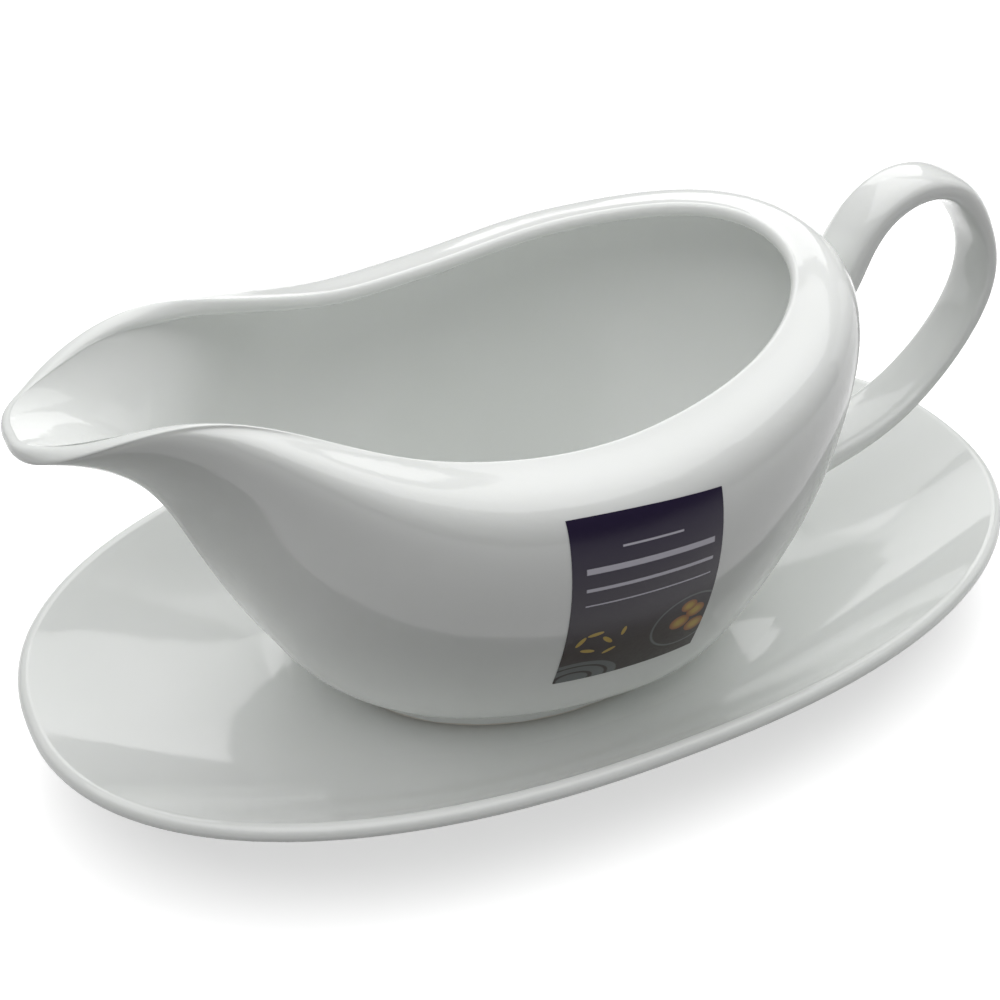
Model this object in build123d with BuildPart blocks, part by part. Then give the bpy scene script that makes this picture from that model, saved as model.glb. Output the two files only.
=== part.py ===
from build123d import *
import math
import os

import numpy as np

# Gravy boat on its own oval saucer, in glazed porcelain. Millimetres, +Z up.
# The origin is on the table under the middle of the saucer. +X runs to the handle, -X to the spout.

# ---- driving dimensions -------------------------------------------------------------------------

SAUCER_HALF_LENGTH = 115.0
SAUCER_HALF_WIDTH = 64.1
SAUCER_SQUARENESS = 2.27        # 2 is an ellipse, more is squarer
SAUCER_RIM_Z = 24.8             # crest of the saucer's rim above the table
SAUCER_ROLL = 1.0               # the rolled rim stands out this far beyond its crest
SAUCER_WALL = 3.4
WELL_Z = 7.5                    # flat well, where the boat stands
WELL_HALF_LENGTH = 60.0
WELL_HALF_WIDTH = 39.0
SAUCER_FOOT_HALF_LENGTH = 63.0
SAUCER_FOOT_HALF_WIDTH = 40.0
SAUCER_FOOT_WIDTH = 4.0
SAUCER_RECESS_Z = 3.4           # underside of the well, inside the foot ring

WALL = 3.2                      # thickness of the boat's wall
HULL_BOTTOM_Z = 13.4            # underside of the bowl, inside the foot ring
FOOT_LEVEL = 0.7                # level of the lines plan where the foot ring meets the hull
FOOT_MIDDLE_X = -6.0
FOOT_HALF_LENGTH = 44.0
FOOT_HALF_WIDTH = 33.5
FOOT_WIDTH = 4.2

OVAL = 2.08                     # squareness of the bowl's oval
TONGUE = (2.0, 2.7)             # squareness of the spout's tongue, at the bottom and at the rim
BLEND = 3.0                     # how tightly the spout grows out of the bowl; more is tighter
MIDDLE_X = 1.5                  # widest station of the bowl
SPOUT_ROOT_X = -18.5            # the spout's tongue starts here
SPOUT_FADE_X = -30.5            # and it fades into the bowl about here
SPOUT_FADE = 9.0                # over about this length
BOW_FADE = 0.27                 # how softly the bowl's front dies away under the spout
BOW_REACH = 25.0                # reached where the spout stands out this far from the bowl

# Lines plan of the hull, one row for each level from the bottom to the rim: share of the height,
# bowl half-width, bowl back x, bowl front x, spout tip x, spout half-width.
LINES = [
    (0.00, 26.0, 32.0, -36.0, -36.0, 8.0),
    (0.03, 38.0, 41.0, -53.0, -53.3, 12.0),
    (0.15, 44.5, 48.5, -63.5, -64.3, 15.0),
    (0.44, 51.5, 58.5, -72.5, -75.0, 18.0),
    (0.68, 54.5, 63.0, -74.5, -82.5, 20.5),
    (0.85, 53.5, 64.5, -72.5, -92.5, 23.6),
    (0.96, 48.5, 60.0, -68.5, -102.0, 25.2),
    (1.00, 37.0, 50.5, -59.5, -106.0, 24.2),
]
# Height of the rim above the table at even steps from the spout's tip to the back.
RIM_START_X = -110.0
RIM_STEP = 18.0
RIM_HEIGHTS = [84.5, 92.8, 95.4, 89.5, 83.0, 80.6, 81.3, 84.4, 88.1, 93.5]

# Handle strap in the plane y = 0, from its upper root round to its lower root: x, z, half-width
# along y, half-thickness.
STRAP = [
    (56.0, 69.5, 9.6, 6.4),
    (64.0, 72.6, 8.5, 5.2),
    (70.2, 78.0, 7.3, 4.2),
    (75.8, 89.0, 6.7, 3.6),
    (87.0, 95.5, 6.5, 3.3),
    (97.5, 93.0, 6.4, 3.0),
    (107.0, 82.0, 6.3, 2.6),
    (110.5, 63.5, 6.3, 2.3),
    (104.0, 49.5, 6.5, 2.2),
    (92.5, 38.0, 7.0, 2.5),
    (75.5, 30.8, 7.8, 3.2),
    (60.0, 26.5, 8.5, 3.6),
    (44.0, 25.0, 9.0, 4.0),
]
STRAP_SQUARENESS = 2.5

LABEL_X = -6.0                  # middle of the paper label on the bowl's near side (-Y)
LABEL_Z = 54.5
LABEL_WIDTH = 30.0
LABEL_HEIGHT = 42.5
LABEL_THICKNESS = 0.15

AROUND = 72                     # points round each level curve


# ---- helpers ------------------------------------------------------------------------------------

def course(values):
    """Evenly spaced values with the bend at each, for the smooth curve that value_on reads."""
    inner = len(values) - 2
    matrix = 4 * np.eye(inner) + np.eye(inner, k=1) + np.eye(inner, k=-1)
    bends = np.linalg.solve(matrix, 6 * np.diff(values, 2))
    return list(values), [0.0, *bends.tolist(), 0.0]


def value_on(curve, place):
    """Value of a course at a place, where its first value is at 0 and the next at 1."""
    values, bends = curve
    left = min(max(int(place), 0), len(values) - 2)
    u = place - left
    straight = (1 - u) * values[left] + u * values[left + 1]
    return straight - u * (1 - u) * ((2 - u) * bends[left] + (1 + u) * bends[left + 1]) / 6


def squared(share, power):
    """Height of a unit superellipse at a share of its half-length."""
    return (1 - min(abs(share), 1) ** power) ** (1 / power)


def closed_curve(points):
    return Wire([Edge.make_spline(points, periodic=True)])


def skin(curves):
    """Smooth faces through a list of closed curves."""
    return Shell.make_loft(curves).faces()


LINE_COURSES = [course(column) for column in zip(*LINES)]
RIM_COURSE = course(RIM_HEIGHTS)


def rim_height(x):
    return value_on(RIM_COURSE, (x - RIM_START_X) / RIM_STEP)


def line_values(level):
    return [value_on(line, level) for line in LINE_COURSES]


def bow(x, half, front, softness):
    """Half the bowl's width at x ahead of the middle; past its front the oval dies away softly."""
    left = 1 - ((MIDDLE_X - x) / (MIDDLE_X - front)) ** OVAL
    return half * (softness * math.log1p(math.exp(left / softness))) ** (1 / OVAL)


def half_breadth(level, x):
    """Half the hull's width at x: the bowl's oval blended into the spout's tongue."""
    share, half, back, front, tip, spout = line_values(level)
    reach = max((SPOUT_ROOT_X - x) / (SPOUT_ROOT_X - tip), 0)
    if x > MIDDLE_X:
        bowl = half * squared((x - MIDDLE_X) / (back - MIDDLE_X), OVAL)
    else:
        softness = max(BOW_FADE * math.tanh((front - tip) / BOW_REACH), 0.002)
        excess = bow(tip, half, front, softness) * reach ** 4
        bowl = max(bow(x, half, front, softness) - excess, 0)
    squareness = TONGUE[0] + (TONGUE[1] - TONGUE[0]) * share
    tongue = spout * squared(reach, squareness) / (1 + math.exp((x - SPOUT_FADE_X) / SPOUT_FADE))
    return (bowl ** BLEND + tongue ** BLEND) ** (1 / BLEND)


def hull(level, turn):
    """Point of the hull's outer skin; turn 0 is the spout's tip and half a turn is the back."""
    share, half, back, front, tip, spout = line_values(level)
    x = (tip + back) / 2 - (back - tip) / 2 * math.cos(turn * math.tau)
    y = math.copysign(half_breadth(level, x), math.sin(turn * math.tau))
    z = HULL_BOTTOM_Z + share * (rim_height(x) - HULL_BOTTOM_Z)
    return Vector(x, y, z)


def oval(half_length, half_width, z, turn, middle_x=0.0, squareness=2.0):
    """Point of a level oval; turn 0 is its -X end, as on the hull."""
    c = math.cos(turn * math.tau)
    s = math.sin(turn * math.tau)
    spread = abs(c / half_length) ** squareness + abs(s / half_width) ** squareness
    reach = spread ** (-1 / squareness)
    return Vector(middle_x - reach * c, reach * s, z)


def saucer_top(level, turn):
    """Point of the saucer's upper skin, from the edge of the well (0) to the rim's crest (1)."""
    half_length = WELL_HALF_LENGTH + (SAUCER_HALF_LENGTH - SAUCER_ROLL - WELL_HALF_LENGTH) * level
    half_width = WELL_HALF_WIDTH + (SAUCER_HALF_WIDTH - SAUCER_ROLL - WELL_HALF_WIDTH) * level
    z = WELL_Z + (SAUCER_RIM_Z - WELL_Z) * level ** 1.7
    return oval(half_length, half_width, z, turn, squareness=SAUCER_SQUARENESS)


def directions(surface, level, turn):
    """Unit vectors at a point of a surface: up towards the rim, and square to the surface."""
    here = surface(level, turn)
    up = (here - surface(level - 0.02, turn)).normalized()
    along = surface(level, turn + 0.004) - surface(level, turn - 0.004)
    return up, along.cross(up).normalized()


def level_curve(surface, level, depth=0.0):
    """Closed curve at one level, the depth square to the surface."""
    points = []
    for step in range(AROUND):
        turn = step / AROUND
        square = directions(surface, level, turn)[1]
        points.append(surface(level, turn) + square * depth)
    return closed_curve(points)


def rim_curves(surface, top, wall):
    """Closed curves round the rim's half circle, from the surface over the crest to its far side."""
    radius = abs(wall) / 2
    curves = []
    for angle in (0, 45, 90, 135, 180):
        points = []
        for step in range(AROUND):
            turn = step / AROUND
            up, square = directions(surface, top, turn)
            centre = surface(top, turn) - up * radius + square * (wall / 2)
            out = up * math.sin(math.radians(angle)) * radius
            across = square * math.cos(math.radians(angle)) * (wall / 2)
            points.append(centre + out - across)
        curves.append(closed_curve(points))
    return curves


def foot_ring(start, half_length, half_width, width, tread_z, recess_z, middle_x=0.0):
    """Faces of a foot ring, from the curve where it leaves the wall to the recess inside it."""
    def ring(inset, z):
        points = []
        for step in range(AROUND):
            sizes = (half_length - inset, half_width - inset)
            points.append(oval(*sizes, z, step / AROUND, middle_x))
        return closed_curve(points)

    bevel = 0.9
    tread_outer = ring(bevel, tread_z)
    tread_inner = ring(width - bevel, tread_z)
    outer = ring(0, tread_z + bevel)
    inner = ring(width, tread_z + bevel)
    recess = ring(width + 0.8, recess_z)
    faces = [Face(tread_outer, [tread_inner]), Face(recess)]
    for pair in ([start, outer], [outer, tread_outer], [tread_inner, inner], [inner, recess]):
        faces += Shell.make_loft(pair, ruled=True).faces()
    return faces


# ---- saucer: one cast piece with a rolled rim and a foot ring under the well ----------------------

with BuildPart() as saucer:
    saucer_rim = rim_curves(saucer_top, 1, -SAUCER_WALL)
    saucer_upper = [level_curve(saucer_top, level) for level in (0, 0.15, 0.3, 0.5, 0.7, 0.9)]
    saucer_under = [
        level_curve(saucer_top, level, -SAUCER_WALL) for level in (0.9, 0.7, 0.5, 0.3, 0.08)
    ]
    saucer_faces = [
        *skin(saucer_upper + [saucer_rim[0]]),
        *skin(saucer_rim),
        *skin([saucer_rim[-1]] + saucer_under),
        *foot_ring(
            saucer_under[-1],
            SAUCER_FOOT_HALF_LENGTH,
            SAUCER_FOOT_HALF_WIDTH,
            SAUCER_FOOT_WIDTH,
            0,
            SAUCER_RECESS_Z,
        ),
        Face(saucer_upper[0]),
    ]
    add(Solid(Shell(saucer_faces)))
saucer.part.label = "saucer"


# ---- boat: cast bowl with its spout and foot ring -------------------------------------------------

with BuildPart() as boat_bowl:
    lip = rim_curves(hull, len(LINES) - 1, WALL)
    rising = [1, 1.4, 1.8, 2.3, 2.8, 3.3, 3.8, 4.3, 4.8, 5.3, 5.8, 6.3]
    outside = [level_curve(hull, level) for level in [FOOT_LEVEL, *rising]]
    inside = [level_curve(hull, level, WALL) for level in [*reversed(rising), 0.6, 0.25]]
    floor = closed_curve([
        oval(31, 23.5, HULL_BOTTOM_Z + WALL, step / AROUND, -2.5) for step in range(AROUND)
    ])
    bowl_skin = skin(outside + [lip[0]])
    bowl_faces = [
        *bowl_skin,
        *skin(lip),
        *skin([lip[-1]] + inside + [floor]),
        *foot_ring(
            outside[0],
            FOOT_HALF_LENGTH,
            FOOT_HALF_WIDTH,
            FOOT_WIDTH,
            WELL_Z,
            HULL_BOTTOM_Z,
            FOOT_MIDDLE_X,
        ),
        Face(floor),
    ]
    add(Solid(Shell(bowl_faces)))
boat_bowl.part.label = "boat_bowl"


# ---- handle: cast strap, luted to the back of the bowl --------------------------------------------

def strap_section(half_width, half_thickness):
    """Points of the strap's rounded section, its width along the first axis."""
    points = []
    for step in range(16):
        c = math.cos(step / 16 * math.tau)
        s = math.sin(step / 16 * math.tau)
        spread = abs(c) ** STRAP_SQUARENESS + abs(s) ** STRAP_SQUARENESS
        reach = spread ** (-1 / STRAP_SQUARENESS)
        points.append((half_width * reach * c, half_thickness * reach * s))
    return points


with BuildPart() as handle:
    for before, here, after in zip(STRAP[:1] + STRAP, STRAP, STRAP[1:] + STRAP[-1:]):
        heading = (after[0] - before[0], 0, after[1] - before[1])
        with BuildSketch(Plane((here[0], 0, here[1]), x_dir=(0, 1, 0), z_dir=heading)):
            with BuildLine():
                Spline(*strap_section(here[2], here[3]), periodic=True)
            make_face()
    loft()
    add(boat_bowl.part, mode=Mode.SUBTRACT)
    add(handle.solids().sort_by(SortBy.VOLUME)[-1], mode=Mode.REPLACE)
handle.part.label = "handle"


# ---- label: a slip of paper stuck to the bowl's near side -----------------------------------------

label_block = Pos(LABEL_X, -50, LABEL_Z) * Box(LABEL_WIDTH, 40, LABEL_HEIGHT)
with BuildPart() as label:
    thicken(bowl_skin.face() & label_block, amount=-LABEL_THICKNESS)
label.part.label = "label"


# ---- export ----------------------------------------------------------------------------------------

os.makedirs("parts", exist_ok=True)
export_step(saucer.part, "parts/saucer.step")
export_step(boat_bowl.part, "parts/boat_bowl.step")
export_step(handle.part, "parts/handle.step")
export_step(label.part, "parts/label.step")
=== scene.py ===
"""Gravy boat on its saucer: glazed porcelain, a plain printed paper label, soft studio light."""

import math

import bpy
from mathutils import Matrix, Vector


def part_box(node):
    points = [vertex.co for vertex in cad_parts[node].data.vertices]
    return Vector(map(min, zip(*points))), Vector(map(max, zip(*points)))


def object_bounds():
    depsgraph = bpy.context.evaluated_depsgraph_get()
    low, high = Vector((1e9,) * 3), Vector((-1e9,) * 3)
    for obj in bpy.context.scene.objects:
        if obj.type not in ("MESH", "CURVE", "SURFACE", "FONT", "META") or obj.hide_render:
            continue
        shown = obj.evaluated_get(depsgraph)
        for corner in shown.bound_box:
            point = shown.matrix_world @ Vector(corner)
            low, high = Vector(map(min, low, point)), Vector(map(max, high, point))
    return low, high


# ---- view and light -------------------------------------------------------------------------------

CAMERA_AZIMUTH = math.radians(-25.5)    # from the -Y side, round towards the spout
CAMERA_ELEVATION = math.radians(38.1)
CAMERA_DISTANCE = 0.333
CAMERA_LENS = 53.3                      # millimetres on a 36 mm sensor
CAMERA_AIM = Vector((-0.005, 0.011, 0.0326))

# name, middle, width and height, power in watts
LIGHTS = [
    ("overhead", (-0.03, 0.05, 0.85), (1.30, 1.10), 6.8),
    ("window", (0.42, 0.80, 0.60), (0.75, 0.50), 2.3),
    ("right", (0.85, 0.05, 0.30), (0.50, 0.60), 0.6),
]
# The room's brightness grows from below the table's edge to overhead, between these two directions,
# given as the upward part of a unit vector.
ROOM_BELOW = 0.16
ROOM_ABOVE = 0.30
ROOM_GROWS_FROM = -0.2
ROOM_GROWS_TO = 0.9
FLOOR_HALF_SIZE = 2.0
FLOOR_COLOUR = (0.95, 0.95, 0.95, 1.0)
FLOOR_GLOW = 0.50                       # the table is lit a little from below, so shadows stay soft

# ---- porcelain ------------------------------------------------------------------------------------

GLAZE_THIN = (0.86, 0.875, 0.86, 1.0)
GLAZE_DEEP = (0.83, 0.85, 0.83, 1.0)    # where the glaze has pooled a little thicker
BISQUE = (0.72, 0.68, 0.62, 1.0)        # bare clay on the tread of a foot ring
GLAZE_ROUGHNESS = 0.06
BISQUE_ROUGHNESS = 0.75
BISQUE_RISE = 0.0009                    # the bare band's height up the foot ring
BISQUE_WANDER = 0.0006                  # and how far its edge wanders above that
GLAZE_IOR = 1.52
GLAZE_SCATTER = 0.15                    # share of the light that scatters inside the porcelain
GLAZE_SCATTER_REACH = 0.0012

# ---- label: positions are shares of its width and height, from its lower left corner --------------

INK_TOP = (0.014, 0.007, 0.034, 1.0)
INK_MIDDLE = (0.015, 0.009, 0.021, 1.0)
INK_LOW = (0.022, 0.012, 0.010, 1.0)
RULE_COLOUR = (0.62, 0.60, 0.68, 1.0)
PLATE_COLOUR = (0.13, 0.14, 0.14, 1.0)
LEAF_COLOUR = (0.55, 0.38, 0.07, 1.0)
FRUIT_COLOUR = (0.32, 0.10, 0.02, 1.0)
# plain rules: left, right, middle height, thickness
RULES = [
    (0.32, 0.72, 0.860, 0.010),
    (0.09, 0.94, 0.765, 0.030),
    (0.09, 0.94, 0.665, 0.018),
    (0.09, 0.94, 0.575, 0.008),
]
# golden leaves: middle across, middle up, half-length, half-width, turn in degrees
LEAVES = [
    (0.10, 0.33, 0.055, 0.018, 60),
    (0.19, 0.37, 0.055, 0.018, 10),
    (0.28, 0.31, 0.055, 0.018, -50),
    (0.16, 0.25, 0.055, 0.018, -20),
    (0.31, 0.22, 0.050, 0.016, 30),
    (0.38, 0.35, 0.045, 0.015, 80),
]
# round fruit in a bowl: middle across, middle up, radius
FRUITS = [(0.80, 0.27, 0.075), (0.90, 0.33, 0.070), (0.93, 0.21, 0.075), (0.84, 0.38, 0.060)]

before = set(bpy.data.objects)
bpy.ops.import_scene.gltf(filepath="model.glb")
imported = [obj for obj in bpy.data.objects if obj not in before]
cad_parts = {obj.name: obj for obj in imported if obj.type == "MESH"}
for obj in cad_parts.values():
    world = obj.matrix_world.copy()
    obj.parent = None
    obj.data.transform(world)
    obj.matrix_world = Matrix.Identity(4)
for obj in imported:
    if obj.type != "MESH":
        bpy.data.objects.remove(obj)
cad_low, cad_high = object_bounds()


# ---- node helpers ---------------------------------------------------------------------------------

class Nodes:
    """Short ways to build one material's node tree."""

    def __init__(self, name):
        self.material = bpy.data.materials.new(name)
        self.material.use_nodes = True
        self.tree = self.material.node_tree
        self.tree.nodes.clear()
        self.shader = self.add("ShaderNodeBsdfPrincipled")
        output = self.add("ShaderNodeOutputMaterial")
        self.put(output.inputs["Surface"], self.shader.outputs["BSDF"])
        self.point = self.add("ShaderNodeTexCoord").outputs["Object"]
        split = self.add("ShaderNodeSeparateXYZ", self.point)
        self.x, self.y, self.z = split.outputs

    def add(self, kind, *inputs, **settings):
        """A node of one kind, with its settings made and its first inputs set in order."""
        node = self.tree.nodes.new(kind)
        for name, value in settings.items():
            setattr(node, name, value)
        for socket, value in zip(node.inputs, inputs):
            self.put(socket, value)
        return node

    def put(self, socket, value):
        """Sets a socket to a constant, or links it to another socket."""
        if isinstance(value, bpy.types.NodeSocket):
            self.tree.links.new(value, socket)
        else:
            socket.default_value = value

    def calc(self, operation, *values):
        return self.add("ShaderNodeMath", *values, operation=operation).outputs[0]

    def noise(self, scale, detail):
        node = self.add("ShaderNodeTexNoise")
        self.put(node.inputs["Vector"], self.point)
        self.put(node.inputs["Scale"], scale)
        self.put(node.inputs["Detail"], detail)
        return node.outputs["Fac"]

    def ramp(self, value, low, high, start=0.0, end=1.0):
        """A value carried smoothly from low..high to start..end."""
        node = self.add("ShaderNodeMapRange", value, low, high, start, end)
        node.interpolation_type = "SMOOTHSTEP"
        return node.outputs["Result"]

    def mix(self, factor, a, b):
        node = self.add("ShaderNodeMix", data_type="RGBA")
        self.put(node.inputs[0], factor)
        self.put(node.inputs[6], a)
        self.put(node.inputs[7], b)
        return node.outputs[2]


def porcelain(name, tread_z=None):
    """Hard white glaze over porcelain; a tread height leaves bare clay on the foot below it."""
    nodes = Nodes(name)
    cloud = nodes.ramp(nodes.noise(18, 2), 0.35, 0.65)
    colour = nodes.mix(cloud, GLAZE_THIN, GLAZE_DEEP)
    roughness = nodes.ramp(nodes.noise(45, 3), 0.3, 0.7, GLAZE_ROUGHNESS, GLAZE_ROUGHNESS + 0.03)
    waves = nodes.calc("ADD", nodes.noise(60, 1), nodes.calc("MULTIPLY", nodes.noise(900, 2), 0.03))
    if tread_z is not None:
        wander = nodes.ramp(nodes.noise(150, 2), 0, 1, 0, BISQUE_WANDER)
        edge = nodes.calc("ADD", tread_z + BISQUE_RISE, wander)
        bare = nodes.calc("LESS_THAN", nodes.z, edge)
        colour = nodes.mix(bare, colour, BISQUE)
        roughness = nodes.ramp(bare, 0, 1, roughness, BISQUE_ROUGHNESS)
    bump = nodes.add("ShaderNodeBump")
    nodes.put(bump.inputs["Height"], waves)
    nodes.put(bump.inputs["Strength"], 0.06)
    nodes.put(bump.inputs["Distance"], 0.001)
    nodes.put(nodes.shader.inputs["Base Color"], colour)
    nodes.put(nodes.shader.inputs["Roughness"], roughness)
    nodes.put(nodes.shader.inputs["Normal"], bump.outputs["Normal"])
    nodes.put(nodes.shader.inputs["IOR"], GLAZE_IOR)
    nodes.put(nodes.shader.inputs["Subsurface Weight"], GLAZE_SCATTER)
    nodes.put(nodes.shader.inputs["Subsurface Radius"], (1.0, 1.0, 0.9))
    nodes.put(nodes.shader.inputs["Subsurface Scale"], GLAZE_SCATTER_REACH)
    return nodes.material


def printed_paper(name, low, high):
    """Dark coated paper with plain pale rules above and a few leaves and round fruit below."""
    nodes = Nodes(name)
    width = high.x - low.x
    height = high.z - low.z
    across = nodes.calc("DIVIDE", nodes.calc("SUBTRACT", nodes.x, low.x), width)
    up = nodes.calc("DIVIDE", nodes.calc("SUBTRACT", nodes.z, low.z), height)

    def oval(middle_x, middle_z, half_length, half_width, turn=0.0):
        """Distance from an oval's middle, 1 at its edge; sizes are shares of the label's width."""
        right = nodes.calc("SUBTRACT", across, middle_x)
        rise = nodes.calc("MULTIPLY", nodes.calc("SUBTRACT", up, middle_z), height / width)
        c = math.cos(math.radians(turn))
        s = math.sin(math.radians(turn))
        along = nodes.calc("ADD", nodes.calc("MULTIPLY", right, c), nodes.calc("MULTIPLY", rise, s))
        side = nodes.calc("SUBTRACT", nodes.calc("MULTIPLY", rise, c), nodes.calc("MULTIPLY", right, s))
        a = nodes.calc("POWER", nodes.calc("ABSOLUTE", nodes.calc("DIVIDE", along, half_length)), 2)
        b = nodes.calc("POWER", nodes.calc("ABSOLUTE", nodes.calc("DIVIDE", side, half_width)), 2)
        return nodes.calc("SQRT", nodes.calc("ADD", a, b))

    def inside(distance):
        return nodes.ramp(distance, 1.0, 0.92)

    def band(value, low_end, high_end, soft):
        rising = nodes.ramp(value, low_end - soft, low_end + soft)
        falling = nodes.ramp(value, high_end + soft, high_end - soft)
        return nodes.calc("MULTIPLY", rising, falling)

    colour = nodes.mix(nodes.ramp(up, 0.2, 0.55), INK_LOW, INK_MIDDLE)
    colour = nodes.mix(nodes.ramp(up, 0.5, 1.0), colour, INK_TOP)
    plate = oval(0.12, 0.02, 0.30, 0.20)
    for ring_low, ring_high in ((0.0, 0.35), (0.45, 0.72), (0.80, 1.0)):
        colour = nodes.mix(band(plate, ring_low, ring_high, 0.02), colour, PLATE_COLOUR)
    bowl_rim = oval(0.86, 0.27, 0.27, 0.27)
    colour = nodes.mix(band(bowl_rim, 0.94, 1.0, 0.02), colour, PLATE_COLOUR)
    for middle_x, middle_z, radius in FRUITS:
        fruit = oval(middle_x, middle_z, radius, radius)
        shaded = nodes.mix(nodes.ramp(fruit, 0.2, 1.0), LEAF_COLOUR, FRUIT_COLOUR)
        colour = nodes.mix(inside(fruit), colour, shaded)
    for leaf in LEAVES:
        colour = nodes.mix(inside(oval(*leaf)), colour, LEAF_COLOUR)
    for left, right, middle, thickness in RULES:
        rule = nodes.calc(
            "MULTIPLY",
            band(across, left, right, 0.004),
            band(up, middle - thickness / 2, middle + thickness / 2, 0.002),
        )
        colour = nodes.mix(rule, colour, RULE_COLOUR)

    fibre = nodes.noise(1200, 3)
    surface = nodes.calc("ADD", nodes.noise(90, 2), nodes.calc("MULTIPLY", fibre, 0.1))
    bump = nodes.add("ShaderNodeBump")
    nodes.put(bump.inputs["Height"], surface)
    nodes.put(bump.inputs["Strength"], 0.15)
    nodes.put(bump.inputs["Distance"], 0.0006)
    nodes.put(nodes.shader.inputs["Base Color"], colour)
    nodes.put(nodes.shader.inputs["Roughness"], nodes.ramp(fibre, 0.3, 0.7, 0.28, 0.36))
    nodes.put(nodes.shader.inputs["Specular IOR Level"], 0.3)
    nodes.put(nodes.shader.inputs["Normal"], bump.outputs["Normal"])
    return nodes.material


def dress(node, material):
    """Gives a CAD node its finished material."""
    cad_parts[node].data.materials.clear()
    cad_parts[node].data.materials.append(material)


dress("saucer", porcelain("saucer_glaze", cad_low.z))
dress("boat_bowl", porcelain("boat_glaze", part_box("boat_bowl")[0].z))
dress("handle", porcelain("handle_glaze"))
dress("label", printed_paper("label_print", *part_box("label")))


# ---- studio: plain pale floor, soft light, camera --------------------------------------------------

middle = (cad_low + cad_high) / 2
floor_mesh = bpy.data.meshes.new("floor")
corners = [(-1, -1), (1, -1), (1, 1), (-1, 1)]
floor_mesh.from_pydata(
    [(x * FLOOR_HALF_SIZE, y * FLOOR_HALF_SIZE, cad_low.z) for x, y in corners], [], [(0, 1, 2, 3)]
)
floor = bpy.data.objects.new("floor", floor_mesh)
bpy.context.scene.collection.objects.link(floor)
floor_nodes = Nodes("floor_paper")
floor_nodes.put(floor_nodes.shader.inputs["Base Color"], FLOOR_COLOUR)
floor_nodes.put(floor_nodes.shader.inputs["Roughness"], 0.6)
floor_nodes.put(floor_nodes.shader.inputs["Emission Color"], FLOOR_COLOUR)
floor_nodes.put(floor_nodes.shader.inputs["Emission Strength"], FLOOR_GLOW)
floor_mesh.materials.append(floor_nodes.material)
floor.visible_diffuse = False       # the room lights the object's sides, not a glare off the floor

for name, place, size, power in LIGHTS:
    data = bpy.data.lights.new(name, "AREA")
    data.shape = "RECTANGLE"
    data.size, data.size_y = size
    data.energy = power
    light = bpy.data.objects.new(name, data)
    light.location = place
    light.rotation_euler = (middle - light.location).to_track_quat("-Z", "Y").to_euler()
    bpy.context.scene.collection.objects.link(light)

world = bpy.data.worlds.new("room")
world.use_nodes = True
background = world.node_tree.nodes["Background"]
background.inputs["Color"].default_value = (1.0, 1.0, 1.0, 1.0)
direction = world.node_tree.nodes.new("ShaderNodeTexCoord")
upward = world.node_tree.nodes.new("ShaderNodeSeparateXYZ")
brightness = world.node_tree.nodes.new("ShaderNodeMapRange")
brightness.inputs["From Min"].default_value = ROOM_GROWS_FROM
brightness.inputs["From Max"].default_value = ROOM_GROWS_TO
brightness.inputs["To Min"].default_value = ROOM_BELOW
brightness.inputs["To Max"].default_value = ROOM_ABOVE
world.node_tree.links.new(direction.outputs["Generated"], upward.inputs[0])
world.node_tree.links.new(upward.outputs["Z"], brightness.inputs["Value"])
world.node_tree.links.new(brightness.outputs["Result"], background.inputs["Strength"])
bpy.context.scene.world = world
bpy.context.scene.view_settings.view_transform = "Standard"

camera_data = bpy.data.cameras.new("camera")
camera_data.lens = CAMERA_LENS
camera_data.sensor_width = 36
camera = bpy.data.objects.new("camera", camera_data)
back = Vector((
    math.sin(CAMERA_AZIMUTH) * math.cos(CAMERA_ELEVATION),
    -math.cos(CAMERA_AZIMUTH) * math.cos(CAMERA_ELEVATION),
    math.sin(CAMERA_ELEVATION),
))
camera.location = CAMERA_AIM + back * CAMERA_DISTANCE
camera.rotation_euler = back.to_track_quat("Z", "Y").to_euler()
bpy.context.scene.collection.objects.link(camera)
bpy.context.scene.camera = camera
